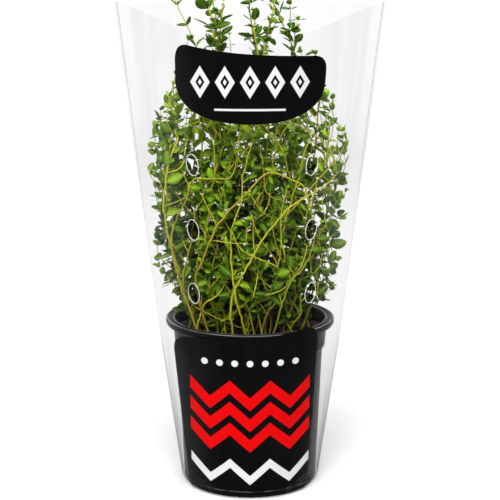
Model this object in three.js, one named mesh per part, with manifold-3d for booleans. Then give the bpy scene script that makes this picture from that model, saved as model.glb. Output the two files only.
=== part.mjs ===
// Potted thyme: a black nursery pot of compost with a bush of leafy thyme stems, standing in a clear tapered
// sleeve that has six pairs of air holes and two black panels on its front.
// Millimetres, +Z up. The origin is the centre of the pot's foot, and -Y is the front.
import * as THREE from "three";
import { mergeVertices } from "three/addons/utils/BufferGeometryUtils.js";
import Module from "manifold-3d";

const wasm = await Module();
wasm.setup();

// Slivers thinner than this are closed up in every mesh
const MERGE = 0.04;

// Driving dimensions of the pot and its compost
const RIM_RADIUS = 52.5;
const POT_HEIGHT = 104.5;
const FOOT_RADIUS = 41.8;
const WALL_RADIUS = 45.4;
const COLLAR_RADIUS = 47;
const COLLAR_BOTTOM = 85;
const LIP_BOTTOM = 96.4;
const WALL = 1.3;
const FOOT_RECESS = 3;
const FLOOR_TOP = FOOT_RECESS + WALL + 0.2;
const POT_SIDES = 32;
const DRAIN_HOLES = 6;
const DRAIN_RADIUS = 3.5;
const SOIL_SIDES = 20;
const SOIL_TOP = 97;
const SOIL_RELIEF = 1.1;
const SEAT_GAP = 0.3;

// Driving dimensions of the sleeve
const FILM = 0.6;
const SLEEVE_BOTTOM = 2;
const SLEEVE_SEAT = 97;
const SLEEVE_TOP = 297;
const FRONT_SCOOP = 23.5;
const WAIST_RADIUS = FOOT_RADIUS + SEAT_GAP + FILM + 0.3;
const CHEST_RADIUS = RIM_RADIUS + SEAT_GAP + FILM + 0.1;
const MOUTH_RADIUS = 66;
const CREASE_REACH = { bottom: 43.7, seat: 57.3, top: 82 };
const SLEEVE_LEVELS = [SLEEVE_BOTTOM, SLEEVE_SEAT, 160, 225, SLEEVE_TOP];
const ARC_STEPS = 11;
const AIR_HOLE_RADIUS = 6.15;
const AIR_HOLE_COLUMNS = [-33, 35.5];
const AIR_HOLE_HEIGHTS = [128.5, 166.8, 205];
const PANEL = 0.5;

// Driving dimensions of the thyme
const STEM_COUNT = 26;
const TALL_STEMS = 7;
const STEM_ROOT = SOIL_TOP - 11;
const ROOT_HOLE_RADIUS = 2;
const STEM_STEP = 20;
const STEM_RADIUS = { root: 1.3, tip: 0.55 };
const GOLDEN_ANGLE = Math.PI * (3 - Math.sqrt(5));
const LEAF = { length: 12.5, width: 8, thickness: 0.9 };
const LOWEST_LEAF = SOIL_TOP + 11;
const PAIR_STEP = { root: 20.5, tip: 15 };
const CELL_MARGIN = 0.45;
// How far the outermost stems stand from the pot's axis, sideways and front to back, at each height
const SPREAD = [
  { z: 97, x: 37, y: 36 },
  { z: 120, x: 48, y: 42 },
  { z: 150, x: 58, y: 47 },
  { z: 200, x: 63, y: 51 },
  { z: 250, x: 60, y: 54 },
  { z: 330, x: 60, y: 56 },
];
// The bush turns slowly about its axis as it rises, and each stem weaves a little about its own way
const TWIST = 0.0035;
const WEAVE = 2.4;
// The tall sprigs arch sideways above this height, each by its share of a common arch
const ARCH_FROM = 240;
const ARCH_LENGTH = 100;
const SPRIG_LEAN = [-0.1, -0.1, 0.1, 0, -0.42, -0.35, -0.1];

const material = (colour, roughness, extra = {}) =>
  new THREE.MeshStandardMaterial({ color: colour, roughness, metalness: 0, ...extra });
const potMaterial = material(0x1c1c1d, 0.45);
const soilMaterial = material(0x241a14, 0.95);
const thymeMaterial = material(0x4c7a26, 0.55);
const filmMaterial = material(0xf4f7f8, 0.08, { transparent: true, opacity: 0.2 });
const printMaterial = material(0x0b0a0c, 0.3);

// A number from 0 to 1 that looks random but is always the same for the same two indices
function scatter(i, k) {
  const wave = Math.sin(i * 12.9898 + k * 78.233) * 43758.5453;
  return wave - Math.floor(wave);
}

const between = (a, b, share) => a + (b - a) * share;

// A closed three.js geometry as a solid that can be joined and cut
function solid(geometry) {
  const bare = geometry.clone();
  bare.deleteAttribute("normal");
  bare.deleteAttribute("uv");
  const merged = mergeVertices(bare, 1e-3);
  return new wasm.Manifold(
    new wasm.Mesh({
      numProp: 3,
      vertProperties: merged.attributes.position.array,
      triVerts: new Uint32Array(merged.index.array),
    }),
  );
}

// A solid as a named mesh, with slivers thinner than the merge size closed up
function meshOf(name, body, look) {
  const { vertProperties, triVerts } = body.asOriginal().setTolerance(MERGE).getMesh();
  const geometry = new THREE.BufferGeometry();
  geometry.setAttribute("position", new THREE.BufferAttribute(vertProperties, 3));
  geometry.setIndex(new THREE.BufferAttribute(triVerts, 1));
  geometry.computeVertexNormals();
  const mesh = new THREE.Mesh(geometry, look);
  mesh.name = name;
  return mesh;
}

// A profile of [radius, height] points turned round the pot's axis
function turned(profile, sides) {
  const points = profile.map(([r, z]) => new THREE.Vector2(r, z));
  return new THREE.LatheGeometry(points, sides).rotateX(Math.PI / 2);
}

// Pot: foot ring, tapered wall, stacking collar and rolled rim in one moulding, with drain holes in its floor
const POT_OUTSIDE = [
  [0, FOOT_RECESS],
  [FOOT_RADIUS - 5.2, FOOT_RECESS],
  [FOOT_RADIUS - 4.4, 0],
  [FOOT_RADIUS - 1, 0],
  [FOOT_RADIUS, 1.4],
  [WALL_RADIUS, COLLAR_BOTTOM],
  [COLLAR_RADIUS, COLLAR_BOTTOM + 2],
  [COLLAR_RADIUS + 0.6, LIP_BOTTOM],
  [RIM_RADIUS - 0.6, LIP_BOTTOM],
  [RIM_RADIUS, LIP_BOTTOM + 1.2],
  [RIM_RADIUS, POT_HEIGHT - 2.5],
  [RIM_RADIUS - 1, POT_HEIGHT - 0.6],
  [RIM_RADIUS - 2.3, POT_HEIGHT],
  [RIM_RADIUS - 3.7, POT_HEIGHT - 0.6],
];
const POT_INSIDE = [
  [COLLAR_RADIUS + 0.7 - WALL, POT_HEIGHT - 3.5],
  [COLLAR_RADIUS - WALL, COLLAR_BOTTOM + 2],
  [WALL_RADIUS - WALL, COLLAR_BOTTOM - 1],
  [FOOT_RADIUS - WALL, FLOOR_TOP + 1],
  [FOOT_RADIUS - WALL - 1, FLOOR_TOP],
  [0, FLOOR_TOP],
];

function pot() {
  let body = solid(turned([...POT_OUTSIDE, ...POT_INSIDE], POT_SIDES));
  for (let i = 0; i < DRAIN_HOLES; i++) {
    const angle = (i * 2 * Math.PI) / DRAIN_HOLES;
    const drill = new THREE.CylinderGeometry(DRAIN_RADIUS, DRAIN_RADIUS, 12, 8).rotateX(Math.PI / 2);
    drill.translate(27 * Math.cos(angle), 27 * Math.sin(angle), 0);
    body = body.subtract(solid(drill));
  }
  return meshOf("pot", body, potMaterial);
}

// The compost's surface, a millimetre or two up and down
function soilRelief(x, y) {
  return SOIL_RELIEF * (Math.sin(0.31 * x + 1.3) * Math.cos(0.27 * y) + 0.7 * Math.sin(0.73 * x - 0.51 * y));
}

function soil(plans) {
  const inset = WALL + SEAT_GAP + 0.05;
  const floor = FLOOR_TOP + SEAT_GAP + 0.05;
  const geometry = turned(
    [
      [0, floor],
      [FOOT_RADIUS - inset - 1, floor],
      [WALL_RADIUS - inset, COLLAR_BOTTOM - 1.2],
      [COLLAR_RADIUS - inset, COLLAR_BOTTOM + 1.8],
      [COLLAR_RADIUS + 0.3 - inset, SOIL_TOP - 2.5],
      [38, SOIL_TOP],
      [27, SOIL_TOP],
      [14, SOIL_TOP],
      [0, SOIL_TOP],
    ],
    SOIL_SIDES,
  );
  const p = geometry.attributes.position;
  for (let i = 0; i < p.count; i++)
    if (p.getZ(i) > SOIL_TOP - 1) p.setZ(i, SOIL_TOP + soilRelief(p.getX(i), p.getY(i)));
  let body = solid(geometry);
  for (const plan of plans) {
    const foot = stemPoint(plan, STEM_ROOT);
    const depth = SOIL_TOP + 10 - STEM_ROOT;
    const hole = new THREE.CylinderGeometry(ROOT_HOLE_RADIUS, ROOT_HOLE_RADIUS, depth, 5).rotateX(Math.PI / 2);
    hole.translate(foot.x, foot.y, STEM_ROOT - SEAT_GAP + depth / 2);
    body = body.subtract(solid(hole));
  }
  return meshOf("soil", body, soilMaterial);
}

// The sleeve's section at a height: a round body whose straight sides meet in a crease at the left and right
function sleeveSize(z) {
  const low = z < SLEEVE_SEAT;
  const share = low
    ? (z - SLEEVE_BOTTOM) / (SLEEVE_SEAT - SLEEVE_BOTTOM)
    : (z - SLEEVE_SEAT) / (SLEEVE_TOP - SLEEVE_SEAT);
  return {
    radius: low ? between(WAIST_RADIUS, CHEST_RADIUS, share) : between(CHEST_RADIUS, MOUTH_RADIUS, share),
    crease: low
      ? between(CREASE_REACH.bottom, CREASE_REACH.seat, share)
      : between(CREASE_REACH.seat, CREASE_REACH.top, share),
  };
}

// How far the film stands from the middle plane y = 0 at a place across the sleeve
function sleeveDepth(x, z) {
  const { radius, crease } = sleeveSize(z);
  const across = Math.abs(x);
  if (across * crease < radius * radius) return Math.sqrt(radius * radius - across * across);
  return ((crease - across) * radius) / Math.sqrt(crease * crease - radius * radius);
}

function sleeveRing(z, offset) {
  const { radius, crease } = sleeveSize(z);
  const grow = (radius + offset) / radius;
  const tangent = Math.acos(radius / crease);
  const ring = [];
  for (const side of [1, -1]) {
    ring.push([side * crease * grow, 0, z]);
    for (let i = 0; i <= ARC_STEPS; i++) {
      const angle = between(tangent, Math.PI - tangent, i / ARC_STEPS);
      ring.push([side * radius * grow * Math.cos(angle), side * radius * grow * Math.sin(angle), z]);
    }
  }
  return ring;
}

// A tube between two offsets from the film's outer face. Its inner and outer faces are split along like
// diagonals, so that a skin laid over the film keeps the same gap all over.
function sleeveTube(inset, outset) {
  const outer = SLEEVE_LEVELS.map((z) => sleeveRing(z, outset));
  const inner = SLEEVE_LEVELS.map((z) => sleeveRing(z, inset)).reverse();
  const loops = [...outer, ...inner];
  const around = loops[0].length;
  const index = [];
  loops.forEach((_, k) => {
    const inside = k >= outer.length;
    for (let i = 0; i < around; i++) {
      const a = k * around + i;
      const b = k * around + ((i + 1) % around);
      const c = ((k + 1) % loops.length) * around + i;
      const d = ((k + 1) % loops.length) * around + ((i + 1) % around);
      index.push(...(inside ? [a, b, c, b, d, c] : [a, b, d, a, d, c]));
    }
  });
  const geometry = new THREE.BufferGeometry();
  geometry.setAttribute("position", new THREE.Float32BufferAttribute(loops.flat(2), 3));
  geometry.setIndex(index);
  return solid(geometry);
}

// An outline drawn on the front view (x across, y up), as a block from the middle plane out through the front
function frontBlock(shape) {
  const deep = 2 * CREASE_REACH.top;
  return solid(new THREE.ExtrudeGeometry(shape, { depth: deep, bevelEnabled: false, curveSegments: 6 })
    .rotateX(Math.PI / 2));
}

// What is cut away above the front panel's scooped edge
function scoopShape() {
  const half = CREASE_REACH.top;
  const shape = new THREE.Shape();
  shape.moveTo(-half - 1, SLEEVE_TOP + 5);
  for (let i = 0; i <= 16; i++) {
    const x = between(-half, half, i / 16);
    const dip = Math.pow(Math.cos((Math.PI * x) / (2 * half)), 1.4);
    shape.lineTo(x, SLEEVE_TOP - FRONT_SCOOP * Math.max(dip, 0));
  }
  shape.lineTo(half + 1, SLEEVE_TOP + 5);
  return shape;
}

function sleeve() {
  let body = sleeveTube(-FILM, 0).subtract(frontBlock(scoopShape()));
  for (const z of AIR_HOLE_HEIGHTS)
    for (const x of AIR_HOLE_COLUMNS)
      for (const side of [-1, 1]) {
        const y = side * sleeveDepth(x, z);
        const punch = new THREE.CylinderGeometry(AIR_HOLE_RADIUS, AIR_HOLE_RADIUS, 12, 10);
        punch.rotateZ(Math.atan2(y, x) - Math.PI / 2);
        punch.translate(x, y, z);
        body = body.subtract(solid(punch));
      }
  return meshOf("sleeve", body, filmMaterial);
}

// A printed panel: a skin that lies on the front of the film inside an outline
function panel(name, shape) {
  const skin = sleeveTube(SEAT_GAP, SEAT_GAP + PANEL);
  return meshOf(name, skin.intersect(frontBlock(shape)), printMaterial);
}

function upperPanelShape() {
  const shape = new THREE.Shape();
  shape.moveTo(-35, 272.8);
  shape.quadraticCurveTo(-10, 266.6, 36, 266.9);
  shape.quadraticCurveTo(43.4, 266.9, 43.2, 259);
  shape.lineTo(42.8, 252);
  shape.bezierCurveTo(41.5, 236, 24, 229, 0, 229);
  shape.bezierCurveTo(-24, 229, -41.3, 236, -42.3, 252);
  shape.lineTo(-42.4, 264);
  shape.quadraticCurveTo(-42.4, 274.2, -35, 272.8);
  return shape;
}

function lowerPanelShape() {
  const bottom = SLEEVE_BOTTOM + 0.8;
  const shape = new THREE.Shape();
  shape.moveTo(-37.8, bottom);
  shape.lineTo(35.4, bottom);
  shape.lineTo(40.4, 97);
  shape.quadraticCurveTo(41, 108.6, 33, 107.3);
  shape.bezierCurveTo(24, 106, 16, 104.2, 4, 104.1);
  shape.quadraticCurveTo(-22, 103.6, -40, 99.6);
  shape.quadraticCurveTo(-46.2, 98.2, -46.2, 91);
  return shape;
}

// Where each stem stands, how tall it is and how it weaves
function stemPlan(i) {
  const share = 0.93 * Math.sqrt((i + 0.5) / STEM_COUNT);
  const angle = i * GOLDEN_ANGLE;
  const crown = 272 - 62 * Math.pow(share, 3) - 14 * scatter(i, 1);
  const tall = 296 + 28 * scatter(i, 2);
  return {
    index: i,
    share,
    angle,
    top: i < TALL_STEMS ? tall : crown,
    phase: 2 * Math.PI * scatter(i, 3),
    turn: 2 * Math.PI * scatter(i, 4),
    lean: i < TALL_STEMS ? SPRIG_LEAN[i] : 0,
    steps: Math.ceil(((i < TALL_STEMS ? tall : crown) - STEM_ROOT) / STEM_STEP),
  };
}

function spreadAt(z) {
  const k = SPREAD.findIndex((row) => row.z > z);
  if (k < 1) return k < 0 ? SPREAD[SPREAD.length - 1] : SPREAD[0];
  const share = (z - SPREAD[k - 1].z) / (SPREAD[k].z - SPREAD[k - 1].z);
  return { x: between(SPREAD[k - 1].x, SPREAD[k].x, share), y: between(SPREAD[k - 1].y, SPREAD[k].y, share) };
}

// A stem's way up: upright in its root hole, then leaning out and winding with the bush
function stemPath(plan, z) {
  const free = Math.max(z - SOIL_TOP - 6, 0);
  const { x, y } = spreadAt(SOIL_TOP + free);
  const place = plan.angle + TWIST * free;
  const weave = WEAVE * Math.min(free / 40, 1);
  const arch = Math.pow(Math.max(z - ARCH_FROM, 0), 2) / ARCH_LENGTH;
  return new THREE.Vector3(
    plan.share * Math.cos(place) * x + weave * Math.sin(free / 19 + plan.phase) + plan.lean * arch,
    plan.share * Math.sin(place) * y + weave * Math.cos(free / 23 + plan.phase),
    z,
  );
}

// A point on a stem's middle line, straight from each of its rings to the next
function stemPoint(plan, z) {
  const rise = (plan.top - STEM_ROOT) / plan.steps;
  const k = Math.min(Math.floor((z - STEM_ROOT) / rise), plan.steps - 1);
  const from = STEM_ROOT + k * rise;
  return stemPath(plan, from).lerp(stemPath(plan, from + rise), (z - from) / rise);
}

// A tapered square stem: thyme's stems are four-sided
function stemSolid(plan) {
  const length = plan.top - STEM_ROOT;
  const geometry = new THREE.CylinderGeometry(STEM_RADIUS.tip, STEM_RADIUS.root, 1, 4, plan.steps);
  geometry.rotateX(Math.PI / 2);
  const p = geometry.attributes.position;
  for (let i = 0; i < p.count; i++) {
    const centre = stemPoint(plan, STEM_ROOT + length * (p.getZ(i) + 0.5));
    p.setXYZ(i, p.getX(i) + centre.x, p.getY(i) + centre.y, centre.z);
  }
  return solid(geometry);
}

// A blade along +X with its faces towards +Z and -Z: an ovate outline, folded a little along its rib
function leafGeometry(length, width) {
  const fold = 0.1 * width;
  const droop = 0.08 * length;
  const rib = 0.42 * length;
  const outline = [
    [0.2, 0, 0],
    [0.36 * length, -width / 2, fold],
    [0.74 * length, -0.33 * width, fold * 0.6 - droop * 0.5],
    [length, 0, -droop],
    [0.74 * length, 0.33 * width, fold * 0.6 - droop * 0.5],
    [0.36 * length, width / 2, fold],
  ];
  const points = [...outline, [rib, 0, LEAF.thickness / 2], [rib, 0, -LEAF.thickness / 2]];
  const index = [];
  outline.forEach((_, i) => {
    const next = (i + 1) % outline.length;
    index.push(i, next, outline.length, next, i, outline.length + 1);
  });
  const geometry = new THREE.BufferGeometry();
  geometry.setAttribute("position", new THREE.Float32BufferAttribute(points.flat(), 3));
  geometry.setIndex(index);
  return geometry;
}

// A point belongs to a stem's own space if it is nearer that stem than any other at its height
function inOwnSpace(point, plan, plans) {
  const own = stemPoint(plan, point.z);
  const mine = Math.hypot(point.x - own.x, point.y - own.y);
  return plans.every((other) => {
    if (other === plan || point.z > other.top + LEAF.length) return true;
    const axis = stemPoint(other, point.z);
    const apart = Math.hypot(axis.x - own.x, axis.y - own.y);
    const theirs = Math.hypot(point.x - axis.x, point.y - axis.y);
    return (theirs * theirs - mine * mine) / (2 * apart) > CELL_MARGIN;
  });
}

// A point is clear of the film, the rim and the compost
function inTheClear(point) {
  if (Math.abs(point.y) > sleeveDepth(point.x, Math.min(point.z, SLEEVE_TOP)) - FILM - 0.7) return false;
  const floor = Math.hypot(point.x, point.y) > 41 ? POT_HEIGHT + 1 : SOIL_TOP + 2 * SOIL_RELIEF + 1;
  return point.z > floor;
}

// The largest and least turned blade that fits at a node, or none
function leafAt(plan, plans, z, azimuth, tilt, roll, size) {
  const base = stemPoint(plan, z);
  for (const scale of [1, 0.86, 0.72])
    for (const swing of [0, 0.45, -0.45, 0.9, -0.9]) {
      const geometry = leafGeometry(LEAF.length * size * scale, LEAF.width * size * scale);
      geometry.rotateX(roll);
      geometry.rotateY(-tilt);
      geometry.rotateZ(azimuth + swing);
      geometry.translate(base.x, base.y, base.z);
      const p = geometry.attributes.position;
      const clear = Array.from({ length: p.count }, (_, i) => new THREE.Vector3().fromBufferAttribute(p, i))
        .slice(1)
        .every((point) => inTheClear(point) && inOwnSpace(point, plan, plans));
      if (clear) return solid(geometry);
    }
  return null;
}

// The heights of a stem's leaf pairs, closer together towards its tip
function leafHeights(plan) {
  const heights = [];
  let z = plan.top - 1;
  while (z > LOWEST_LEAF) {
    heights.push(z);
    const up = (z - SOIL_TOP) / (plan.top - SOIL_TOP);
    z -= between(PAIR_STEP.root, PAIR_STEP.tip, up) + 3 * (scatter(plan.index + 17 * heights.length, 5) - 0.5);
  }
  return heights;
}

// A stem with its leaves in opposite pairs, each pair turned a quarter from the next
function leafyStem(plan, plans) {
  let body = stemSolid(plan);
  leafHeights(plan).forEach((z, node) => {
    const up = (z - SOIL_TOP) / (plan.top - SOIL_TOP);
    for (const side of [0, 1]) {
      const draw = plan.index + 31 * node + 7 * side;
      const azimuth = plan.turn + (node * Math.PI) / 2 + side * Math.PI + 0.5 * (scatter(draw, 6) - 0.5);
      const tilt = between(0.05, 0.75, up) + 0.7 * (scatter(draw, 7) - 0.5);
      const roll = 1.1 * (scatter(draw, 8) - 0.5);
      const size = between(0.95, 0.78, up) * between(0.88, 1.08, scatter(draw, 9));
      const leaf = leafAt(plan, plans, z, azimuth, tilt, roll, size);
      if (leaf) body = body.add(leaf);
    }
  });
  const name = `thyme_stem_${String(plan.index + 1).padStart(2, "0")}`;
  return meshOf(name, body, thymeMaterial);
}

const plans = Array.from({ length: STEM_COUNT }, (_, i) => stemPlan(i));
const bush = new THREE.Group();
bush.add(...plans.map((plan) => leafyStem(plan, plans)));

const pottedThyme = new THREE.Group();
pottedThyme.add(
  pot(),
  soil(plans),
  bush,
  sleeve(),
  panel("upper_panel", upperPanelShape()),
  panel("lower_panel", lowerPanelShape()),
);
export default pottedThyme;
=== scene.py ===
# Looks for the potted thyme: pot, compost, leafy stems, clear sleeve and its two printed panels.
# Lengths are millimetres in the shape functions and become metres when a mesh is made.
from functools import partialmethod
from math import acos, atan2, copysign, cos, hypot, pi, radians, sin, sqrt

import bmesh
import bpy
import numpy as np
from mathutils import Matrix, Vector, noise


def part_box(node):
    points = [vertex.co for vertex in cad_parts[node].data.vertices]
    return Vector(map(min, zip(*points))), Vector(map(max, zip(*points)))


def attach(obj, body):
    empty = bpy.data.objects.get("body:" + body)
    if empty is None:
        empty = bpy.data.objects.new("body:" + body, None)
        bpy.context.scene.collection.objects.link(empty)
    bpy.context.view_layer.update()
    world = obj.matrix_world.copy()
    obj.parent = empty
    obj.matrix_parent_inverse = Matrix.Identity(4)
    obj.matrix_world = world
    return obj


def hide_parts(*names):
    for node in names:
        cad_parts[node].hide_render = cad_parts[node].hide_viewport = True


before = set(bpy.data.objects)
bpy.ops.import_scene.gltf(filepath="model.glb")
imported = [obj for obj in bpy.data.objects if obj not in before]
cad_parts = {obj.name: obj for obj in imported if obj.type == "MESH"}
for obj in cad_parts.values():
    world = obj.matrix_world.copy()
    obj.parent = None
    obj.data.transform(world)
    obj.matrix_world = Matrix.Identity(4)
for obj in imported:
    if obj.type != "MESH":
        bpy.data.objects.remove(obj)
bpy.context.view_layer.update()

MM = 0.001
QUARTER = pi / 2

# Sizes read from the frame
RIM_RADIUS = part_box("pot")[1][0] / MM
POT_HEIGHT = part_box("pot")[1][2] / MM
SLEEVE_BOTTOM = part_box("sleeve")[0][2] / MM
SLEEVE_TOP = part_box("sleeve")[1][2] / MM
MOUTH_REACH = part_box("sleeve")[1][0] / MM
MOUTH_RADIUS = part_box("sleeve")[1][1] / MM

# The rest of the pot and sleeve, as in the part
FOOT_RADIUS = 41.8
WALL_RADIUS = 45.4
COLLAR_RADIUS = 47
COLLAR_BOTTOM = 85
WALL = 1.3
FOOT_RECESS = 3
FLOOR_TOP = FOOT_RECESS + WALL + 0.2
DRAINS = 6
DRAIN_RADIUS = 3.5
DRAIN_CIRCLE = 27
SOIL_TOP = 97
SLEEVE_SEAT = 97
FRONT_SCOOP = 23.5
WAIST_RADIUS = 43
CHEST_RADIUS = 53.5
CREASE_BOTTOM = 43.7
CREASE_SEAT = 57.3
AIR_HOLE_RADIUS = 6.15
AIR_HOLE_WIDTH = 0.66
AIR_HOLE_TILT = 0.22
AIR_HOLE_COLUMNS = (-33, 35.5)
AIR_HOLE_HEIGHTS = (128.5, 166.8, 205)
FILM = 0.25
PANEL_LIFT = 0.3
PANEL = 0.45

# The thyme's stems, as in the part
STEM_COUNT = 26
TALL_STEMS = 7
STEM_ROOT = SOIL_TOP - 11
GOLDEN_ANGLE = pi * (3 - sqrt(5))
SPREAD_HEIGHTS = (97, 120, 150, 200, 250, 330)
SPREAD_ACROSS = (37, 48, 58, 63, 60, 60)
SPREAD_DEEP = (36, 42, 47, 51, 54, 56)
TWIST = 0.0035
WEAVE = 2.4
ARCH_FROM = 240
ARCH_LENGTH = 100
SPRIG_LEAN = (-0.1, -0.1, 0.1, 0, -0.42, -0.35, -0.1)

# The dressed bush: its outline from the front, its clearances and how many loose stems it has
OUTLINE_HEIGHTS = (97, 112, 128, 150, 205, 225, 240, 258, 275)
OUTLINE_REACH = (43, 49, 59, 62, 63, 58, 52, 45, 36)
OUTLINE_DEPTH = 0.95
RIGHT_SIDE = 0.95
FILM_GAP = 1.1
RIM_GAP = 8
POCKET_DEPTH = 17
POCKET_HALF_WIDTH = 5
POCKET_HALF_HEIGHT = 7.5
POCKET_SLOPE = 0.17
STEM_STEP = 2.6
WALK_STEP = 3.5
BODY_TOP = 240
SPRIG_FROM = 264
FINE_STEMS = 46
LOW_SHOOTS = 46
SIDE_SHOOTS = 60
TRAILING_STEMS = 150
TRAILING_HEIGHTS = (102, 240)

# The photograph's eye, which looks along y and down to the pot, and the shade it sees in the bush
EYE_DISTANCE = 745
EYE_HEIGHT = 287.9
EYE_DIP = 10.78
EYE_LENS = 87.96
HEART_SHADE = 0.3
HOLE_SHADE = 0.12

# Colours that several looks share
# Painted highlight on the panels' folds and hem
FOLD_HIGHLIGHT_GREY = (0.2, 0.2, 0.21)
PRINT_RED = (0.77, 0.001, 0.002)
PRINT_WHITE = (0.8, 0.8, 0.8)


def between(a, b, share):
    return a + (b - a) * share


def clamped(value):
    return min(max(value, 0), 1)


def vector(*numbers):
    return np.array(numbers)


def polar(radius, angle, z=0):
    return vector(radius * cos(angle), radius * sin(angle), z)


def circle(radius, count, z=0):
    """Points spread evenly round the axis."""
    return [polar(radius, 2 * pi * i / count, z) for i in range(count)]


def scatter(i, k):
    """A number from 0 to 1, the same as in the part for the same two indices."""
    return sin(i * 12.9898 + k * 78.233) * 43758.5453 % 1


def bush_reach(z):
    """How far the bush reaches from the axis, seen from the front."""
    return np.interp(z, OUTLINE_HEIGHTS, OUTLINE_REACH)


# Sleeve section


def sleeve_size(z):
    """Radius of the round body and reach of the side creases at a height."""
    heights = (SLEEVE_BOTTOM, SLEEVE_SEAT, SLEEVE_TOP)
    radius = np.interp(z, heights, (WAIST_RADIUS, CHEST_RADIUS, MOUTH_RADIUS))
    return float(radius), float(np.interp(z, heights, (CREASE_BOTTOM, CREASE_SEAT, MOUTH_REACH)))


def sleeve_depth(x, z):
    """How far the film stands from the plane y = 0 at a place across the sleeve."""
    radius, crease = sleeve_size(min(z, SLEEVE_TOP))
    across = abs(x)
    if across >= crease:
        return 0
    if across * crease < radius * radius:
        return sqrt(radius * radius - across * across)
    return (crease - across) * radius / sqrt(crease * crease - radius * radius)


def scoop_height(x):
    """Height of the front panel's top edge."""
    dip = max(cos(pi * x / (2 * MOUTH_REACH)), 0) ** 1.4
    return SLEEVE_TOP - FRONT_SCOOP * dip


# Mesh helpers


def linked(name, data):
    """A new object in the scene."""
    obj = bpy.data.objects.new(name, data)
    bpy.context.scene.collection.objects.link(obj)
    return obj


def make_object(name, vertices, faces, materials, face_materials=None):
    """A smooth object from vertices in millimetres."""
    mesh = bpy.data.meshes.new(name)
    mesh.from_pydata([tuple(v) for v in np.asarray(vertices, dtype=float) * MM], [], faces)
    for material in materials:
        mesh.materials.append(material)
    if face_materials is not None:
        mesh.polygons.foreach_set("material_index", np.asarray(face_materials, dtype=np.int32))
    mesh.shade_smooth()
    mesh.update()
    return linked(name, mesh)


def dress(obj, slot, *nodes):
    """The piece rides on the part's one body and stands for the nodes named, which are hidden. slot is not
    used.
    """
    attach(obj, "root")
    if nodes:
        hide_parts(*nodes)


def cut(obj, tool, operation, sharp_angle):
    """A Boolean with another object, which is used up. Sharper angles than the one given stay edges."""
    modifier = obj.modifiers.new("cut", "BOOLEAN")
    modifier.operation = operation
    modifier.solver = "EXACT"
    modifier.object = tool
    old = obj.data
    mesh = bpy.data.meshes.new_from_object(obj.evaluated_get(bpy.context.evaluated_depsgraph_get()))
    obj.modifiers.clear()
    obj.data = mesh
    bpy.data.meshes.remove(old)
    bpy.data.objects.remove(tool)
    mesh.shade_smooth()
    mesh.set_sharp_from_angle(angle=radians(sharp_angle))


def bands(rings, around, start=0, closed=False):
    """Faces between rings of vertices that follow each other, and from the last to the first if closed."""
    faces = []
    for k in range(rings if closed else rings - 1):
        a, b = start + k * around, start + (k + 1) % rings * around
        for i in range(around):
            j = (i + 1) % around
            faces.append((a + i, a + j, b + j, b + i))
    return faces


def merged(lumps):
    """One mesh's points and faces from those of many lumps."""
    points, faces = [], []
    for lump, skin in lumps:
        base = len(points)
        points += lump
        faces += [tuple(base + k for k in face) for face in skin]
    return points, faces


def turned(profile, sides):
    """Points and faces of a profile of (radius, height) turned about the axis, where it starts and ends."""
    rings = profile[1:-1]
    vertices = [(0, 0, profile[0][1])]
    vertices += [point for radius, z in rings for point in circle(radius, sides, z)]
    vertices.append((0, 0, profile[-1][1]))
    last = len(vertices) - 1
    faces = bands(len(rings), sides, 1)
    for i in range(sides):
        j = (i + 1) % sides
        faces += [(0, 1 + j, 1 + i), (last - sides + i, last - sides + j, last)]
    return vertices, faces


def rounded(profile, corners, steps=5):
    """The profile with each corner in corners {index: radius} replaced by an arc-like curve."""
    result = []
    for k, point in enumerate(profile):
        if k not in corners:
            result.append(point)
            continue
        p = Vector(point)
        before = Vector(profile[k - 1]) - p
        after = Vector(profile[k + 1]) - p
        start = p + before.normalized() * min(corners[k], before.length * 0.48)
        end = p + after.normalized() * min(corners[k], after.length * 0.48)
        for i in range(steps + 1):
            t = i / steps
            result.append(tuple(start * (1 - t) ** 2 + p * 2 * t * (1 - t) + end * t * t))
    return result


# Node helpers


class Term:
    """One output of a node. Arithmetic with it adds math nodes."""

    def __init__(self, nodes, socket):
        self.nodes, self.socket = nodes, socket

    def apply(self, operation, *others):
        return self.nodes.add("Math", (self, *others), operation=operation)

    def ramp(self, low, high, to_low=0, to_high=1):
        """A smooth step from one value to another."""
        values = self, low, high, to_low, to_high
        return self.nodes.add("MapRange", values, interpolation_type="SMOOTHSTEP")

    def inside(self, low, high, blur=0.15):
        """1 where the value lies between two limits, with a hair of blur at each."""
        return self.ramp(low - blur, low + blur) * self.ramp(high - blur, high + blur, 1, 0)


for sign, operation in {
    "__add__": "ADD",
    "__sub__": "SUBTRACT",
    "__mul__": "MULTIPLY",
    "__truediv__": "DIVIDE",
    "__mod__": "MODULO",
    "__pow__": "POWER",
    "__abs__": "ABSOLUTE",
    "larger": "MAXIMUM",
    "smaller": "MINIMUM",
    "root": "SQRT",
    "sine": "SINE",
    "fraction": "FRACT",
}.items():
    setattr(Term, sign, partialmethod(Term.apply, operation))


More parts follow.
